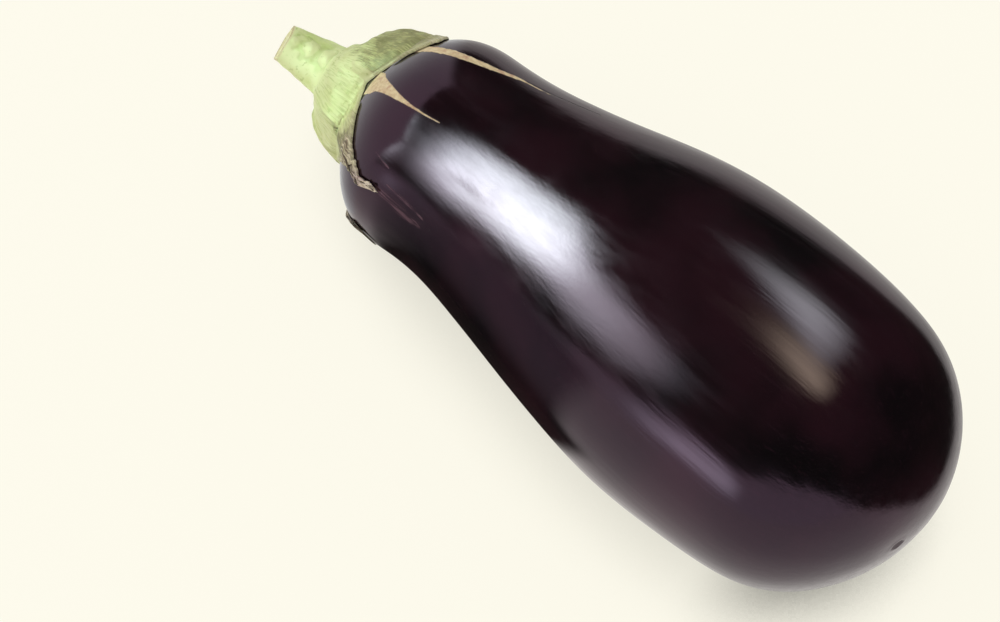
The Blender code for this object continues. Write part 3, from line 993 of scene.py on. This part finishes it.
def add_standing_card(card):
    """A card whose glow fades at its ends and at its top, and low down if it says so."""
    made, tree, apart = card_material(card.name)
    start, end = (Vector((*corner, 0.0)) for corner in (card.start, card.end))
    half = (end - start).length / 2
    from_middle = compute(tree, "ABSOLUTE", apart.outputs["X"])
    inside = spread(tree, from_middle, half, half - card.soft_end)
    below = spread(tree, apart.outputs["Y"], card.height + card.soft_top, card.height - card.soft_top)
    glow = add_node(tree, "Emission", {"Color": (*card.colour, 1.0)})
    if card.lit_from:
        lit = spread(tree, apart.outputs["Y"], *card.lit_from, 0.05, 1.0)
        tree.links.new(lit, glow.inputs["Strength"])
    clear = add_node(tree, "BsdfTransparent")
    inputs = {0: times(tree, inside, below), 1: clear.outputs[0], 2: glow.outputs[0]}
    both = add_node(tree, "MixShader", inputs)
    add_node(tree, "OutputMaterial", {"Surface": both.outputs[0]})
    top = card.height + card.soft_top
    standing = add_card(card.name, [(-half, 0, 0), (half, 0, 0), (half, top, 0), (-half, top, 0)], made)
    face_on(standing, (end - start).normalized(), Vector((0.0, 0.0, 1.0)), (start + end) / 2)


def face_on(card, across, upward, place):
    """Puts a card's X along across, its Y along upward, and its middle at the place."""
    columns = (across, upward, across.cross(upward).normalized(), place)
    card.matrix_world = Matrix([[*(column[row] for column in columns)] for row in range(3)] + [[0, 0, 0, 1]])


def square(half):
    """The corners of a flat square round the origin."""
    return [(-half, -half, 0), (half, -half, 0), (half, half, 0), (-half, half, 0)]


def add_soft_box(box):
    """A soft box's card, facing the middle of the studio."""
    card = add_card(box.name, square(1 + box.soft), soft_light(box))
    around, above = math.radians(box.azimuth), math.radians(box.elevation)
    way = Vector((math.cos(around) * math.cos(above), math.sin(around) * math.cos(above), math.sin(above)))
    across = Vector((-math.sin(around), math.cos(around), 0.0))
    upward = way.cross(across)
    turned = math.radians(box.turned)
    width_way = across * math.cos(turned) + upward * math.sin(turned)
    height_way = upward * math.cos(turned) - across * math.sin(turned)
    width_way *= box.half_width * box.distance
    height_way *= box.half_height * box.distance
    face_on(card, width_way, height_way, STUDIO_MIDDLE + way * box.distance)


def studio_world():
    """Even light for matte surfaces, a dark room with pale paper for glossy ones, a cream backdrop."""
    world = bpy.data.worlds.new("studio")
    bpy.context.scene.world = world
    world.use_nodes = True
    tree = world.node_tree
    way = add_node(tree, "TexCoord").outputs["Generated"]
    height = add_node(tree, "SeparateXYZ", {0: way}).outputs["Z"]
    right, left, cap = (
        compute(tree, "ADD", compute_vector(tree, "DOT_PRODUCT", way, growth), start)
        for growth, start in (RISE_RIGHT, RISE_LEFT, RISE_CAP)
    )
    top = compute(tree, "MINIMUM", compute(tree, "MAXIMUM", right, left), cap)
    paper = spread(tree, compute(tree, "SUBTRACT", top, height), -0.05, 0.05)
    mirrored = mix(tree, paper, ROOM_FOR_GLOSS, PAPER)
    path = add_node(tree, "LightPath")
    seen = mix(tree, path.outputs["Is Glossy Ray"], ROOM_FOR_MATTE, mirrored)
    seen = mix(tree, path.outputs["Is Camera Ray"], seen, BACKDROP)
    background = tree.nodes["Background"]
    tree.links.new(seen, background.inputs["Color"])
    world.cycles.sampling_method = "NONE"


def paper_on_floor(tree, place, apart):
    """The pale paper that mirrors see on the floor: 1 on it, 0 past its edges and on the dark strip."""
    sheets = []
    for way, end in PAPER_LINES:
        ahead = compute_vector(tree, "DOT_PRODUCT", place, way)
        sheets.append(spread(tree, ahead, end + PAPER_EDGE, end - PAPER_EDGE))
    faded = spread(tree, apart.outputs["Y"], *PAPER_FADE)
    shaded = spread(tree, apart.outputs["Y"], 0.0, 0.06, 1.0, PAPER_SHADE)
    along_x, along_y, soft = DARK_STRIP
    strips = []
    for axis, (start, end) in (("X", along_x), ("Y", along_y)):
        after_start = spread(tree, apart.outputs[axis], start, start + soft)
        before_end = spread(tree, apart.outputs[axis], end, end - soft)
        strips.append(times(tree, after_start, before_end))
    off_strip = compute(tree, "SUBTRACT", 1.0, times(tree, *strips))
    return times(tree, compute(tree, "MAXIMUM", *sheets), faded, shaded, off_strip)


def floor_shade(tree, apart):
    """1 where the floor is in full shade under the fruit, 0 in the open."""
    inputs = {"Distance": SHADE_REACH}
    crowd = add_node(tree, "AmbientOcclusion", inputs, samples=16).outputs["AO"]
    along = spread(tree, apart.outputs["X"], *SHADE_FULL, SHADE_FAINT, 1.0)
    return times(tree, spread(tree, crowd, *reversed(CROWDING)), along)


def floor_material():
    """Pale and even: part of its light is its own, less where things crowd it."""
    made, tree, shader = new_material("pale_floor")
    place = add_node(tree, "NewGeometry").outputs["Position"]
    apart = add_node(tree, "SeparateXYZ", {0: place})
    paper = paper_on_floor(tree, place, apart)
    is_mirrored = add_node(tree, "LightPath").outputs["Is Glossy Ray"]
    white = (1.0, 1.0, 1.0, 1.0)
    shown = mix(tree, is_mirrored, white, mix(tree, paper, ROOM_FOR_GLOSS, PAPER_TINT))
    dim = (*(c * (1 - FLOOR_GLOW) for c in BACKDROP[:3]), 1.0)
    base = mix(tree, 1.0, shown, dim, "MULTIPLY")
    glow = mix(tree, 1.0, shown, BACKDROP, "MULTIPLY")
    glowing = times(tree, compute(tree, "SUBTRACT", 1.0, floor_shade(tree, apart)), FLOOR_GLOW)
    feed(tree, shader, {"Base Color": base, "Emission Color": glow, "Emission Strength": glowing})
    feed(tree, shader, {"Roughness": 1.0, "Specular IOR Level": 0.0})
    made.cycles.emission_sampling = "NONE"
    return made


def add_floor():
    """A flat floor, a hair below the fruit's flat spot."""
    floor = add_sheet("floor", square(FLOOR_SIZE / 2), floor_material())
    floor.location.z = -0.0001


def add_sun():
    """A wide, soft sun that doesn't show in mirrors."""
    lamp = bpy.data.lights.new("sun", "SUN")
    lamp.energy = SUN_STRENGTH
    lamp.angle = math.radians(SUN_SPREAD)
    sun = add_object("sun", lamp)
    sun.rotation_mode = "QUATERNION"
    sun.rotation_quaternion = Vector(SUN_FROM).to_track_quat("Z", "Y")
    sun.visible_glossy = False


def add_stage():
    """The floor, the soft boxes, the two cards and the sun."""
    add_floor()
    for box in SOFT_BOXES:
        add_soft_box(box)
    for card in CARDS:
        add_standing_card(card)
    add_sun()


def add_camera():
    around, above = math.radians(CAMERA_AZIMUTH), math.radians(CAMERA_ELEVATION)
    back = Vector((math.sin(around) * math.cos(above), -math.cos(around) * math.cos(above), math.sin(above)))
    lens = bpy.data.cameras.new("camera")
    lens.sensor_width = CAMERA_SENSOR
    lens.lens = CAMERA_LENS
    camera = add_object("camera", lens)
    camera.location = CAMERA_AIM + back * CAMERA_DISTANCE
    camera.rotation_mode = "QUATERNION"
    camera.rotation_quaternion = (-back).to_track_quat("-Z", "Y")
    bpy.context.scene.camera = camera


add_camera()
add_stage()
studio_world()
bpy.context.scene.view_settings.view_transform = "Standard"
add_piece("fruit_skin", fine_fruit(), skin_material(), "fruit")
add_piece("calyx_with_stem", fine_calyx(), calyx_material(), "calyx_and_stem")
